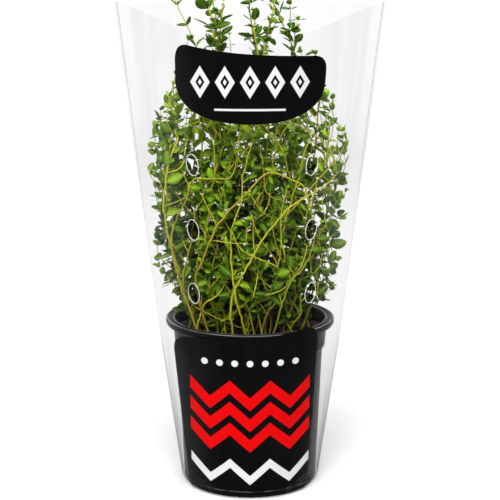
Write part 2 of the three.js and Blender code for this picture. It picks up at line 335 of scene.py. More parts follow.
class Nodes:
    """Builds the nodes of a material or of the world."""

    def __init__(self, owner):
        owner.use_nodes = True
        self.owner, self.tree = owner, owner.node_tree

    def add(self, kind, inputs, output=0, **settings):
        """A node, its inputs fed by name or in order with terms, numbers or colours. Gives one output."""
        node = self.tree.nodes.new("ShaderNode" + kind)
        for key, value in settings.items():
            setattr(node, key, value)
        for key, value in inputs.items() if isinstance(inputs, dict) else enumerate(inputs):
            self.feed(node.inputs[key], value)
        return Term(self, node.outputs[output])

    def feed(self, socket, value):
        if isinstance(value, Term):
            self.tree.links.new(value.socket, socket)
        else:
            socket.default_value = (*value, 1) if socket.type == "RGBA" else value

    def mix(self, share, a, b):
        return self.add("Mix", {0: share, 6: a, 7: b}, 2, data_type="RGBA")

    def blend(self, share, a, b):
        """A mix of two shaders."""
        return self.add("MixShader", (share, a, b))

    def place(self, scale=(1, 1, 1)):
        """Object coordinates, stretched."""
        return self.add("Mapping", {"Vector": self.add("TexCoord", (), "Object"), "Scale": scale})

    def axes(self):
        """The object's own x, y and z in millimetres."""
        here = self.place((1 / MM, 1 / MM, 1 / MM))
        return [self.add("SeparateXYZ", [here], k) for k in "XYZ"]

    def noise(self, scale, detail=3, roughness=0.55, stretch=(1, 1, 1)):
        inputs = {"Vector": self.place(stretch), "Scale": scale, "Detail": detail, "Roughness": roughness}
        return self.add("TexNoise", inputs)

    def attribute(self, name):
        return self.add("Attribute", (), "Fac", attribute_name=name)

    def bump(self, height, strength, distance):
        return self.add("Bump", {"Height": height, "Strength": strength, "Distance": distance})

    def principled(self, colour, roughness, normal=None, specular=None):
        inputs = {"Base Color": colour, "Roughness": roughness}
        if normal:
            inputs["Normal"] = normal
        if specular:
            inputs["Specular IOR Level"] = specular
        return self.add("BsdfPrincipled", inputs)

    def finish(self, shader):
        output = self.tree.nodes.new("ShaderNodeOutputMaterial")
        self.feed(output.inputs["Surface"], shader)
        return self.owner


def new_material(name):
    nodes = Nodes(bpy.data.materials.new(name))
    nodes.tree.nodes.clear()
    return nodes


def distance(a, b):
    return (a * a + b * b).root()


# Materials


def pot_material():
    """Black moulded plastic: faint mould grain, thin dust, and painted highlight lines along the top of the
    rim.
    """
    n = new_material("black_pot_plastic")
    x, y, z = n.axes()
    dust = n.noise(260, 3, 0.7, (1, 1, 0.12)).ramp(0.6, 0.8) * 0.12
    colour = n.mix(dust, (0.005, 0.005, 0.006), (0.04, 0.038, 0.036))
    away = distance(x, y)
    # Painted highlight: pale lines on the outer and inner edges of the rim's top
    outer = away.inside(RIM_RADIUS - 1.2, RIM_RADIUS - 0.35)
    inner = away.inside(RIM_RADIUS - 5.1, RIM_RADIUS - 4.3)
    patchy = n.noise(60, 3, 0.6).ramp(0.35, 0.7, 0.35, 1)
    painted_highlight = (outer + inner * 0.6) * z.ramp(POT_HEIGHT - 1.4, POT_HEIGHT - 0.7) * patchy
    colour = n.mix(painted_highlight * 0.9, colour, (0.46, 0.46, 0.47))
    roughness = n.noise(45, 4).ramp(0.3, 0.7, 0.17, 0.24)
    return n.finish(n.principled(colour, roughness, n.bump(n.noise(900, 2), 0.08, 0.0003), 0.15))


def soil_material():
    """Moist compost: near black with brown fibre."""
    n = new_material("dark_compost")
    fibre = n.noise(700, 5, 0.7, (1, 0.35, 1))
    clump = n.noise(220, 4, 0.6)
    colour = n.mix(clump.ramp(0.35, 0.7), (0.007, 0.005, 0.004), (0.035, 0.02, 0.011))
    colour = n.mix(fibre.ramp(0.62, 0.8), colour, (0.13, 0.075, 0.038))
    relief = n.bump(clump + fibre * 0.5, 0.8, 0.0012)
    return n.finish(n.principled(colour, clump.ramp(0.3, 0.7, 0.6, 0.95), relief))


def perlite_material():
    n = new_material("perlite_grit")
    cloud = n.noise(1500)
    colour = n.mix(cloud, (0.62, 0.58, 0.5), (0.86, 0.84, 0.8))
    return n.finish(n.principled(colour, 0.85, n.bump(cloud, 0.5, 0.0004)))


def heart_shade(n):
    """Darker towards the middle of the bush, and in the hollows behind the front air holes."""
    x, y, z = n.axes()
    shade = z.ramp(175, 230).larger(distance(x, y).ramp(14, 42, HEART_SHADE, 1))
    for column in AIR_HOLE_COLUMNS:
        for height in AIR_HOLE_HEIGHTS:
            front = -sleeve_depth(column, height)
            aim = EYE_DISTANCE + front
            behind = y - front
            sideways = behind * (-column / aim) + x - column
            upward = behind * ((EYE_HEIGHT - height) / aim) + z - height
            tilt = copysign(AIR_HOLE_TILT, column)
            facing = -front / hypot(column, front)
            across = sideways * cos(tilt) + upward * -sin(tilt)
            along = sideways * sin(tilt) + upward * cos(tilt)
            oval = distance(across / (AIR_HOLE_RADIUS * AIR_HOLE_WIDTH * facing), along / AIR_HOLE_RADIUS)
            shade = shade * oval.ramp(0.75, 1.15, HOLE_SHADE, 1).larger(y.ramp(-22, -2))
    return shade


def leaf_material():
    """Thyme leaf: tone by leaf, lighter in a band high in the bush as painted light, pale rib and fine veins
    above, greyer and duller below.
    """
    n = new_material("thyme_leaf")
    tone, along, across, under = (n.attribute(k) for k in ("tone", "along", "across", "under"))
    height = n.axes()[2]
    cloud = n.noise(650, 4, 0.65)
    # Painted light: leaves are lighter in a band from 180 to 260 mm up
    painted_light_band = height.ramp(180, 210) * height.ramp(235, 260, 0.14, 0)
    bright = (tone**2 + painted_light_band).smaller(1)
    top = n.mix(bright, (0.025, 0.104, 0.001), (0.5, 0.82, 0.03))
    top = n.mix(cloud.ramp(0.42, 0.66, 0, 0.38), top, (0.16, 0.35, 0.008))
    width = abs(across)
    veins = (along * 34 - width * 9).sine().ramp(0.75, 1, 0, 0.5)
    lines = width.ramp(0.03, 0.14, 1, 0).larger(veins)
    top = n.mix(lines * 0.42, top, (0.47, 0.68, 0.14))
    below = n.mix(bright, (0.08, 0.2, 0.01), (0.38, 0.62, 0.045))
    below = n.mix(lines * 0.5, below, (0.44, 0.6, 0.18))
    colour = n.mix(heart_shade(n), (0.004, 0.012, 0.001), n.mix(under, top, below))
    relief = n.bump(cloud - lines * 0.9, 0.35, 0.0003)
    leaf = n.principled(colour, under.ramp(0, 1, 0.42, 0.62), relief, 0.09)
    glow = n.add("BsdfTranslucent", {"Color": n.mix(0.4, colour, (0.36, 0.62, 0.02))})
    return n.finish(n.blend(0.22, leaf, glow))


def stem_material():
    """Young stems are yellow-green, and woody ones tan to reddish brown with fine streaks."""
    n = new_material("thyme_stem")
    streak = n.noise(2600, stretch=(1, 1, 0.1))
    young = n.mix(n.attribute("tone"), (0.33, 0.39, 0.006), (0.76, 0.7, 0.03))
    old = n.mix(n.noise(160).ramp(0.35, 0.65), (0.32, 0.16, 0.012), (0.52, 0.33, 0.03))
    colour = n.mix(n.attribute("wood").ramp(0.15, 0.95), young, old)
    colour = n.mix(streak.ramp(0.5, 0.8, 0, 0.35), colour, (0.26, 0.16, 0.03))
    colour = n.mix(heart_shade(n), (0.012, 0.01, 0.001), colour)
    return n.finish(n.principled(colour, 0.55, n.bump(streak, 0.3, 0.0003)))


def film_material():
    """Clear film: it lets light through, shines more at a slant and carries faint haze in upright streaks of
    painted reflection. Its tint holds painted light and shade.
    """
    n = new_material("clear_film")
    _, y, height = n.axes()
    upright = (1, 1, 0.035)
    # Faint haze of the film, laid in upright streaks as painted reflection
    fine = n.noise(380, 3, 0.6, upright).ramp(0.3, 0.75, 0.35, 1)
    haze_and_painted_reflection = n.noise(45, 2, stretch=upright).ramp(0.38, 0.72) * fine * 0.0035 + 0.0003
    ripple = n.bump(n.noise(130, 2, stretch=(1, 1, 0.06)), 0.25, 0.0008)
    facing = n.add("LayerWeight", {"Blend": 0.5, "Normal": ripple}, "Facing")
    # The tint of one layer, with painted light and shade: darker low down and in bands (painted shade),
    # darker edges, a clearer strip up each side (painted light) and a crease line in it
    aside = abs(y)
    painted_shade_bands = n.noise(90, 2, 0.6, upright).ramp(0.35, 0.65) * facing.ramp(0.1, 0.5)
    tint = n.mix(height.ramp(170, 240), (0.918, 0.918, 0.916), (0.973, 0.973, 0.972))
    tint = n.mix(painted_shade_bands * 0.6, tint, (0.932, 0.932, 0.931))
    tint = n.mix(aside.ramp(9, 15, 0.7, 0) * height.ramp(200, 280), tint, (0.993, 0.993, 0.994))
    crease = abs(aside - height.ramp(20, 320, 0.9, 2.6)).ramp(0.15, 0.45, 1, 0)
    tint = n.mix(crease * height.ramp(0, 300, 0.3, 1), tint, (0.84, 0.84, 0.87))
    tint = n.mix(facing.ramp(0.72, 1), tint, (0.62, 0.63, 0.66))
    clear = n.add("BsdfTransparent", {"Color": tint})
    shine = n.add("BsdfGlossy", {"Roughness": 0.05, "Color": (1, 1, 1), "Normal": ripple})
    dull = facing.ramp(0.16, 0.45) * height.ramp(105, 140, 0, 0.011)
    veil = n.blend(haze_and_painted_reflection + dull, clear, n.principled((0.86, 0.87, 0.89), 0.5))
    return n.finish(n.blend(facing**4.5 * 0.15 + 0.0007, veil, shine))


def cut_edge_material():
    """The film's punched edges, which catch the light."""
    n = new_material("film_cut_edge")
    clear = n.add("BsdfTransparent", ())
    white = n.principled((0.98, 0.98, 0.98), 0.25)
    return n.finish(n.blend(n.noise(600, 2).ramp(0.3, 0.7, 0.8, 1), clear, white))


def print_material(name, draw):
    """Black ink with a plain geometric design. draw gives the shares of red and of white from x and z."""
    n = new_material(name)
    x, _, z = n.axes()
    red, white = draw(x, z)
    cloud = n.noise(120, stretch=(1, 1, 0.08))
    colour = n.mix(cloud.ramp(0.35, 0.75), (0.0016, 0.0014, 0.0017), (0.003, 0.0027, 0.0032))
    # Painted sheen: the black is lighter towards the panel's left side
    sheen = x.ramp(-44, -14, 1, 0) * n.noise(24, 2, stretch=(1, 1, 0.5)).ramp(0.3, 0.6)
    colour = n.mix(sheen, colour, (0.011, 0.01, 0.011))
    colour = n.mix(red, colour, PRINT_RED)
    colour = n.mix(white, colour, PRINT_WHITE)
    # Painted highlights: grey lines along slanting folds low down at both sides, and along the hem at the
    # bottom
    across = abs(x)
    low = z - (across - 22) * 0.45
    fold_highlights = (low % 2.3).inside(0.2, 0.55) * low.inside(2.3, 6.8) * cloud.ramp(0.4, 0.6, 0.1, 0.55)
    colour = n.mix(fold_highlights * across.ramp(16, 26), colour, FOLD_HIGHLIGHT_GREY)
    hem_highlight = z.inside(SLEEVE_BOTTOM + 2.6, SLEEVE_BOTTOM + 3) * cloud.ramp(0.38, 0.6, 0.15, 0.7)
    colour = n.mix(hem_highlight, colour, FOLD_HIGHLIGHT_GREY)
    ripple = n.bump(n.noise(38, 2, stretch=(1, 1, 0.3)), 0.2, 0.002)
    return n.finish(n.principled(colour, cloud.ramp(0.3, 0.7, 0.27, 0.32), ripple, 0.06))


def from_middle(value, pitch):
    """How far a value lies from the middle of its cell, in a row of cells with one of them centred on 0."""
    return (((value + pitch * 10.5) / pitch).fraction() - 0.5) * pitch


def upper_design(x, z):
    """A row of white lozenges with black hearts, over a thin white line."""
    reach = abs(from_middle(x, 14)) + abs(z - 252.5) * 0.62
    lozenges = reach.inside(2.6, 5.6).larger(reach.inside(-1, 1.1)) * x.inside(-35, 35)
    line = z.inside(236.6, 237.8) * x.inside(-20, 20)
    return 0, lozenges.larger(line)


def lower_design(x, z):
    """Three broad red zigzags with white dots over them and a white zigzag below."""
    width, depth = 24, 11
    rising = abs(((x + 10 * width) / width).fraction() * 2 - 1)
    height = z - (rising * -1 + 1) * depth
    wide = x.inside(-36, 36)
    red = ((height - 31) % 13.5).inside(0, 8.2) * height.inside(31, 67) * wide
    dots = distance(from_middle(x, 9), z - 88).inside(-1, 2) * x.inside(-31.5, 31.5)
    return red, (height.inside(9.5, 15.5) * wide).larger(dots)


def floor_material():
    """Pale to the eye, with less light thrown back up than a white floor gives."""
    n = new_material("studio_floor")
    seen = n.add("LightPath", (), "Is Camera Ray")
    pale = n.mix(n.noise(3, 2), (0.806, 0.806, 0.806), (0.814, 0.814, 0.814))
    return n.finish(n.principled(n.mix(seen, (0.42, 0.42, 0.42), pale), 0.8))


# Pot and compost


def build_pot():
    profile = [(0, FOOT_RECESS)]
    for radius, height, offsets in (
        (FOOT_RADIUS, 0, ((-5.2, 3), (-4.4, 0), (-1, 0), (0, 1.4), (0.1, 5.2), (-0.15, 5.8), (0.15, 6.4))),
        (WALL_RADIUS, COLLAR_BOTTOM, ((0, 0),)),
        (COLLAR_RADIUS, COLLAR_BOTTOM, ((0, 2), (0.25, 6), (0.05, 6.5), (0.4, 7))),
        (COLLAR_RADIUS, POT_HEIGHT, ((0.7, -5.4),)),
        (RIM_RADIUS, POT_HEIGHT, ((-1.4, -4.6), (0, -3.2), (0, 0), (-2, 0), (-2.5, -0.7), (-3.2, -0.7))),
        (RIM_RADIUS, POT_HEIGHT, ((-3.7, -0.1), (-5.6, -0.1))),
        (COLLAR_RADIUS - WALL, POT_HEIGHT, ((0.2, -4.5),)),
        (COLLAR_RADIUS - WALL, COLLAR_BOTTOM, ((0, 2),)),
        (WALL_RADIUS - WALL, COLLAR_BOTTOM, ((0, -1),)),
        (FOOT_RADIUS - WALL, FLOOR_TOP, ((0, 1), (-1, 0))),
    ):
        profile += [(radius + out, height + up) for out, up in offsets]
    profile.append((0, FLOOR_TOP))
    foot_corners = {2: 0.3, 3: 0.4, 4: 0.8, 8: 0.8, 9: 0.8}
    rim_corners = {13: 0.4, 14: 0.5, 15: 0.8, 16: 0.9, 17: 0.3, 18: 0.2, 19: 0.2, 20: 0.3, 21: 0.8}
    vertices, faces = turned(rounded(profile, foot_corners | rim_corners), 144)
    pot = make_object("pot_moulding", vertices, faces, [pot_material()])
    drill, skin = turned([(0, -2), (DRAIN_RADIUS, -2), (DRAIN_RADIUS, 8), (0, 8)], 24)
    drills = merged(([p + spot for p in drill], skin) for spot in circle(DRAIN_CIRCLE, DRAINS))
    cut(pot, make_object("drills", *drills, []), "DIFFERENCE", 32)
    dress(pot, "pot", "pot")


def soil_height(x, y):
    broad = noise.noise(Vector((x / 9, y / 9, 3.1)))
    fine = noise.noise(Vector((x / 2.6, y / 2.6, 7.7)))
    return SOIL_TOP - 0.2 + 1.5 * broad + 0.7 * fine


def crumb(centre, size, seed):
    """A small flattish lump: a ball pushed about by noise."""
    ball = bmesh.new()
    bmesh.ops.create_icosphere(ball, subdivisions=1, radius=1)
    points = []
    for v in ball.verts:
        p = v.co * (1 + 0.45 * noise.noise(v.co * 1.7 + Vector((seed, 0, 0)))) * size
        points.append((centre[0] + p.x, centre[1] + p.y, centre[2] + p.z * 0.8))
    faces = [tuple(v.index for v in face.verts) for face in ball.faces]
    ball.free()
    return points, faces


def build_soil():
    inset = WALL + 0.35
    floor = FLOOR_TOP + 0.35
    side = [
        (0, floor),
        (FOOT_RADIUS - inset - 1, floor),
        (WALL_RADIUS - inset, COLLAR_BOTTOM - 1.2),
        (COLLAR_RADIUS - inset, COLLAR_BOTTOM + 1.8),
        (COLLAR_RADIUS + 0.3 - inset, SOIL_TOP - 1.6),
    ]
    top = [(radius, SOIL_TOP) for radius in np.linspace(COLLAR_RADIUS - 1.9, 0, 46)]
    vertices, faces = turned(side + top, 120)
    vertices = [(x, y, soil_height(x, y) if z > SOIL_TOP - 1 else z) for x, y, z in vertices]
    dress(make_object("compost", vertices, faces, [soil_material()]), "soil", "soil")
    for name, count, low, high, look, seed in (
        ("compost_crumbs", 520, 0.5, 1.7, soil_material(), 5),
        ("perlite_grains", 46, 0.35, 0.95, perlite_material(), 9),
    ):
        draw = np.random.default_rng(seed)
        lumps = []
        for i in range(count):
            radius = (COLLAR_RADIUS - 3.6) * sqrt(draw.random())
            x, y, _ = polar(radius, draw.random() * 2 * pi)
            size = between(low, high, draw.random() ** 2)
            lumps.append(crumb((x, y, soil_height(x, y) + 0.25 * size), size, 13.7 * i))
        dress(make_object(name, *merged(lumps), [look]), "soil")


# Thyme


def stem_course(i):
    """A stem's share of the bush's width, its top, the turn of its top leaves, and its path by height."""
    share = 0.93 * sqrt((i + 0.5) / STEM_COUNT)
    tall = i < TALL_STEMS
    top = 296 + 28 * scatter(i, 2) if tall else 272 - 62 * share**3 - 14 * scatter(i, 1)
    lean = SPRIG_LEAN[i] / ARCH_LENGTH if tall else 0
    phase, turn = 2 * pi * scatter(i, 3), 2 * pi * scatter(i, 4)

    def path(z):
        """Upright in its root hole, then leaning out and winding with the bush."""
        free = max(z - SOIL_TOP - 6, 0)
        across, deep = (np.interp(SOIL_TOP + free, SPREAD_HEIGHTS, k) for k in (SPREAD_ACROSS, SPREAD_DEEP))
        place = i * GOLDEN_ANGLE + TWIST * free
        weave = WEAVE * min(free / 40, 1)
        x = share * cos(place) * across + weave * sin(free / 19 + phase)
        y = share * sin(place) * deep + weave * cos(free / 23 + phase)
        return x + lean * max(z - ARCH_FROM, 0) ** 2, y, z

    return share, top, turn, path


def in_pocket(x, y, z):
    """A point is in the hollow that the leaves leave behind an air hole."""
    middle = AIR_HOLE_COLUMNS[0] if x < 0 else AIR_HOLE_COLUMNS[1]
    inward = sleeve_depth(middle, z) - abs(y)
    if abs(x - middle) > POCKET_HALF_WIDTH or inward > POCKET_DEPTH:
        return False
    return any(abs(z - height + POCKET_SLOPE * inward) < POCKET_HALF_HEIGHT for height in AIR_HOLE_HEIGHTS)


def is_clear(point, reach):
    """A point is inside the film and a share of the bush's outline, and off compost, rim and air holes."""
    x, y, z = point
    if z < OUTLINE_HEIGHTS[-1]:
        wide = reach * bush_reach(z) * (RIGHT_SIDE if x > 0 else 1)
        if (x / wide) ** 2 + (y / (OUTLINE_DEPTH * wide)) ** 2 > 1:
            return False
    if z < SLEEVE_TOP + 2 and abs(y) > sleeve_depth(x, z) - FILM_GAP:
        return False
    if z < POT_HEIGHT + 0.5 and hypot(x, y) > RIM_RADIUS - RIM_GAP:
        return False
    return z > SOIL_TOP + 0.5 and not in_pocket(x, y, z)


def unit(way):
    return way / sqrt(way[0] ** 2 + way[1] ** 2 + way[2] ** 2)


def cross(a, b):
    return vector(a[1] * b[2] - a[2] * b[1], a[2] * b[0] - a[0] * b[2], a[0] * b[1] - a[1] * b[0])


def turned_about(axis, start, angle):
    """start turned about axis by angle."""
    along = axis * np.dot(axis, start) * (1 - cos(angle))
    return start * cos(angle) + cross(axis, start) * sin(angle) + along


def side_way(along, angle):
    """A direction square to the one given, turned about it by an angle."""
    return turned_about(along, unit(cross(along, (0.3, 0.2, 1))), angle)


def pressed_face(point, heading, face):
    """The way a blade faces: outward where the film presses on it, and its own way inside the bush."""
    x, y, z = point
    press = 0.3 + 0.7 * min(abs(y) / max(sleeve_depth(x, z), 1), 1) ** 2
    outward = unit(vector(0.35 * x / 60, copysign(1, y), 0.45))
    result = face * (1 - 0.75 * press) + outward * (1.1 * press)
    return unit(result - heading * np.dot(result, heading))


def curve_through(points, step):
    """Points a step apart along a Catmull-Rom curve."""
    points = [np.array(p, dtype=float) for p in points]
    ends = [2 * points[0] - points[1]] + points + [2 * points[-1] - points[-2]]
    result = []
    for a, b, c, d in zip(ends, ends[1:], ends[2:], ends[3:]):
        count = max(int(np.linalg.norm(c - b) / step), 1)
        for i in range(count):
            t = i / count
            bend = (2 * a - 5 * b + 4 * c - d) * t * t + (3 * b - a - 3 * c + d) * t**3
            result.append(0.5 * (2 * b + (c - a) * t + bend))
    return np.array(result + [points[-1]])


# Points along the stems, in the order they are built
stem_points = []


def spring_point(target):
    """The place on a stem already built, a little lower than target, that is nearest to it."""
    points = np.array(stem_points)
    lift = target[2] - points[:, 2]
    cost = np.linalg.norm(target - points, axis=1) + np.where((lift < 3) | (lift > 45), 300, 0)
    return points[np.argmin(cost)]


def joined(path):
    """A loose path with a sagging link before it, back to the stem it springs from."""
    root = spring_point(path[0])
    sag = vector(0, 0, -0.14 * np.linalg.norm(path[0] - root))
    link = curve_through([root, (root + path[0]) / 2 + sag, path[0]], WALK_STEP)
    whole = np.concatenate((link[:-1], path))
    for _ in range(5):
        whole[1:-1] = (whole[:-2] + 2 * whole[1:-1] + whole[2:]) / 4
    return whole


# Distance along a leaf and share of its half width there
LEAF_STATIONS = ((0.1, 0.09), (0.19, 0.5), (0.32, 0.88), (0.48, 1), (0.66, 0.93), (0.83, 0.66), (0.95, 0.3))


class Foliage:
    """Gathers stems and leaves, and makes one piece of them. reach is the share of the outline they fill."""

    def __init__(self, seed, reach=0.84):
        self.draw, self.reach = np.random.default_rng(seed), reach
        self.points, self.faces, self.tone, self.wood, self.leaves = [], [], [], [], []

    def tube(self, path, radii, wood, tone, sides):
        """A closed stem along a path. radii are for each point or the two ends, wood is for the ends."""
        count, start = len(path), len(self.points)
        if len(radii) == 2:
            radii = np.linspace(*radii, count)
        tangents = np.gradient(path, axis=0)
        tangents /= np.linalg.norm(tangents, axis=1)[:, None]
        side = np.cross(tangents[0], (0, 1, 0.3))
        turn = 2 * pi * np.arange(sides) / sides
        for point, along, radius in zip(path, tangents, radii):
            side = side - along * np.dot(side, along)
            side /= np.linalg.norm(side)
            other = np.cross(along, side)
            ring = np.outer(np.cos(turn), side) + np.outer(np.sin(turn), other)
            self.points += list(point + radius * ring)
        last = len(self.points) - sides
        self.faces += [tuple(range(start, start + sides))[::-1], tuple(range(last, last + sides))]
        self.faces += bands(count, sides, start)
        self.tone += [tone] * (count * sides)
        self.wood += list(np.repeat(np.linspace(*wood, count), sides))

    def pair(self, point, along, azimuth, size, spread, tone, slim=1, draw=None):
        """Two opposite leaves at a node. size is their length, spread their angle from the stem."""
        draw = draw or self.draw
        for half in (0, 1):
            out = side_way(along, azimuth + half * pi + draw.normal(0, 0.2))
            lean = spread + draw.normal(0, 0.25)
            heading = along * cos(lean) + out * sin(lean)
            heading[2] -= 0.15 * draw.random()
            heading = unit(heading)
            length = size * draw.uniform(0.78, 1.18)
            if not is_clear(point + heading * length, self.reach):
                heading = along * cos(lean * 0.45) + out * sin(lean * 0.45)
                if not is_clear(point + heading * length, self.reach):
                    continue
            face = turned_about(heading, unit(cross(heading, cross(along, heading))), draw.normal(0, 0.5))
            face = pressed_face(point, heading, face)
            width = length * slim * draw.uniform(0.52, 0.82)
            fold, curl = draw.uniform(-0.12, 0.42), draw.uniform(-0.05, 0.3)
            shade = clamped(tone + draw.normal(0, 0.27))
            self.leaves.append((*point, *heading, *face, length, width, fold, curl, shade))

    def tips(self, path, turn, size, pairs, tone):
        """The young pairs at a stem's end: the share of size and the spread of each."""
        along = unit(path[-1] - path[-2])
        for k, (share, spread) in enumerate(pairs):
            self.pair(path[-1], along, turn + k * QUARTER, size * share, spread, tone)

    def walk(self, start, heading, length, sway, rising, reach=0.9):
        """A winding path that stays inside the sleeve. It ends early where it finds no room."""
        draw = self.draw
        steps = max(int(length / WALK_STEP), 3)
        path, way = [start], unit(heading)
        for _ in range(steps):
            way = unit(way + vector(draw.normal(0, sway), draw.normal(0, sway), rising / steps))
            ahead = path[-1] + way * (length / steps)
            if not is_clear(ahead + way * 2, reach):
                inward = path[-1] * (-0.008, -0.008, 0)
                way = unit(way * (0.35, 0.35, 1) + inward)
                ahead = path[-1] + way * (length / steps)
                if not is_clear(ahead, reach):
                    break
            path.append(ahead)
        return np.array(path)

    def leafy(self, path, first, leaf_size, tone, gap_share=1):
        """Leaf pairs along a path, each turned a quarter from the last, closest and smallest at its tip."""
        draw = self.draw
        places = np.concatenate(([0], np.cumsum(np.linalg.norm(np.diff(path, axis=0), axis=1))))
        turn = draw.random() * pi
        where = first
        while where < places[-1] - 1:
            k = min(int(np.searchsorted(places, where, "right")) - 1, len(path) - 2)
            along = unit(path[k + 1] - path[k])
            spot = path[k] + along * (where - places[k])
            share = where / places[-1]
            ripe = 1 - 0.32 * share
            self.pair(spot, along, turn, leaf_size * ripe, 1.15, tone + 0.25 * share)
            if draw.random() < 0.25:
                self.pair(spot, along, turn + QUARTER, leaf_size * 0.42, 0.7, tone + 0.3)
            turn += QUARTER
            where += leaf_size * gap_share * ripe * draw.uniform(0.85, 1.2)
        self.tips(path, turn, leaf_size, ((0.55, 0.75), (0.36, 0.4)), tone + 0.35)

    def shoot(self, start, heading, length, leaf_size, tone, radius=0.42, wood=0.15, loose=False):
        """A side shoot: it curves upward and carries its own smaller leaf pairs."""
        path = self.walk(start, heading, length, 0.11, 0.55, self.reach)
        if len(path) < 3:
            return
        if loose:
            path = joined(path)
        self.tube(path, (radius, radius * 0.5), (wood, 0), self.draw.random(), 4)
        self.leafy(path, leaf_size * 0.6, leaf_size, tone)

    def blades(self):
        """All leaves at once: 30 vertices each, from base to tip round the rib and the two edges."""
        data = np.array(self.leaves)
        base, along, up = data[:, 0:3], data[:, 3:6], data[:, 6:9]
        length, width, fold, curl = (data[:, k : k + 1] for k in range(9, 13))
        side = np.cross(up, along)
        side /= np.linalg.norm(side, axis=1)[:, None]
        up = np.cross(along, side)
        thick = 0.014 * length + 0.05
        columns, lengths, widths = [base], [0], [0]
        for t, share in LEAF_STATIONS:
            rib = base + along * (t * length) - up * (curl * t * t * length)
            half = share * width / 2
            bulge = thick * sqrt(share)
            for across, lift in ((-1, fold * half), (0, bulge), (1, fold * half), (0, -bulge)):
                columns.append(rib + side * (across * half) + up * lift)
                lengths.append(t)
                widths.append(across * share)
        columns.append(base + along * length - up * (curl * length))
        end = len(columns) - 1
        tip = end - 4
        faces, under = [], []
        for i, low in enumerate((0, 0, 1, 1)):
            j = (i + 1) % 4
            faces.append((0, 1 + j, 1 + i))
            faces += [(k + i, k + j, k + 4 + j, k + 4 + i) for k in range(1, tip, 4)]
            faces.append((tip + i, tip + j, end))
            under += [low] * (len(LEAF_STATIONS) + 1)
        return np.stack(columns, axis=1), faces, under, lengths + [1], widths + [0]

    def build(self, name, looks, *nodes):
        """The piece, whose points know their tone, woodiness and place on their leaf."""
        stems, stem_faces = len(self.points), len(self.faces)
        blades, blade_faces, under, lengths, widths = self.blades()
        count, size = blades.shape[:2]
        starts = range(stems, stems + count * size, size)
        faces = self.faces + [tuple(start + q for q in face) for start in starts for face in blade_faces]
        slots = [0] * stem_faces + [1] * (len(blade_faces) * count)
        obj = make_object(name, np.concatenate((self.points, blades.reshape(-1, 3))), faces, looks, slots)
        tones = np.repeat([leaf[-1] for leaf in self.leaves], size)
        for key, domain, values in (
            ("tone", "POINT", self.tone + list(tones)),
            ("along", "POINT", [0] * stems + lengths * count),
            ("across", "POINT", [0] * stems + widths * count),
            ("wood", "POINT", self.wood + [0] * (size * count)),
            ("under", "FACE", [0] * stem_faces + under * count),
        ):
            layer = obj.data.attributes.new(key, "FLOAT", domain)
            layer.data.foreach_set("value", np.asarray(values, dtype=np.float32))
        dress(obj, "thyme", *nodes)


def build_stem(i, looks):
    """One of the part's leafy stems with finer leaves, tufts in their axils and side shoots."""
    share, top, turn, course = stem_course(i)
    foliage = Foliage(1000 + i)
    draw, tuft = foliage.draw, np.random.default_rng(2000 + i)
    heights = np.arange(STEM_ROOT + 0.3, top, STEM_STEP)
    path = np.array([course(z) for z in heights])
    wobble = np.cumsum(draw.normal(0, 0.34, (len(path), 2)), axis=0)
    wobble -= np.linspace(0, 1, len(path))[:, None] * wobble[-1]
    path[:, :2] += wobble * np.clip((heights - SOIL_TOP - 4) / 20, 0, 1)[:, None]
    stem_points.extend(path[heights > SOIL_TOP + 5])
    radii = between(draw.uniform(0.65, 0.95), 0.45, ((heights - STEM_ROOT) / (top - STEM_ROOT)) ** 0.8)
    foliage.tube(path, radii, (draw.uniform(0.5, 1), 0), draw.random(), 6)
    body_tone = draw.uniform(0.1, 0.5)
    vigour = draw.uniform(0.78, 1.18)
    inner = 0.4 if share < 0.6 else 0.85
    z = top - 0.5
    while z > SOIL_TOP + 7:
        k = min(int((z - heights[0]) / STEM_STEP), len(path) - 2)
        along = unit(path[k + 1] - path[k])
        spot = path[k] + (path[k + 1] - path[k]) * ((z - heights[k]) / STEM_STEP)
        up = (z - SOIL_TOP) / (top - SOIL_TOP)
        # Leaves at the bush's left and right are larger and fewer, and brighter as painted light; those of
        # the sprigs darker
        free = z > SPRIG_FROM
        edge = clamped((abs(spot[0]) / bush_reach(z) - 0.5) / 0.25) if z < BODY_TOP else 0
        full = 1 - edge * (0.8 if spot[0] > 0 else 0.5)
        size = vigour * (10.8 if free and up < 0.9 else between(12, 7.4, up)) * (1 + 0.22 * edge)
        slim = 0.7 if free else 1
        # 0.34 * edge is painted light on the leaves at the left and right
        tone = body_tone + 0.34 * edge + (-0.25 if free else 0.32 * up)
        foliage.pair(spot, along, turn, size, between(1.35, 0.95, up), tone, slim)
        if draw.random() < 0.6 * full:
            foliage.pair(spot, along, turn + QUARTER, size * 0.5, 0.7, tone + 0.3, slim)
            foliage.pair(spot + along, along, turn + 0.8, size * 0.3, 0.5, tone + 0.45, slim)
        if free:
            foliage.pair(spot - 4.5 * along, along, turn + 0.9, size * 0.55, 0.85, tone + 0.1, slim, tuft)
        outward = vector(spot[0], spot[1], 0) / max(hypot(spot[0], spot[1]), 1)
        often = between(0.3, 0.52, up) if up < 0.72 else 0.26
        chance = 0.3 if free else (0.75 + 1.1 * noise.noise(Vector(spot) / 16)) * often
        for side in (0, pi):
            if up > 0.92 or draw.random() > full * inner * chance:
                continue
            out = side_way(along, turn + side) + 0.35 * outward
            reach = between(34, 16, up) * draw.uniform(0.6, 1.25)
            leaf_size = vigour * draw.uniform(6.5, 11.5) * between(1.08, 0.74, up)
            foliage.shoot(spot, along * 0.7 + out, reach, leaf_size, tone + draw.normal(0, 0.15))
        turn += QUARTER
        z -= (10.8 if free and up < 0.95 else between(12.5, 9.6, up)) * draw.uniform(0.85, 1.15)
    name = f"thyme_stem_{i + 1:02d}"
    foliage.build(f"{name}_leafy", looks, name)


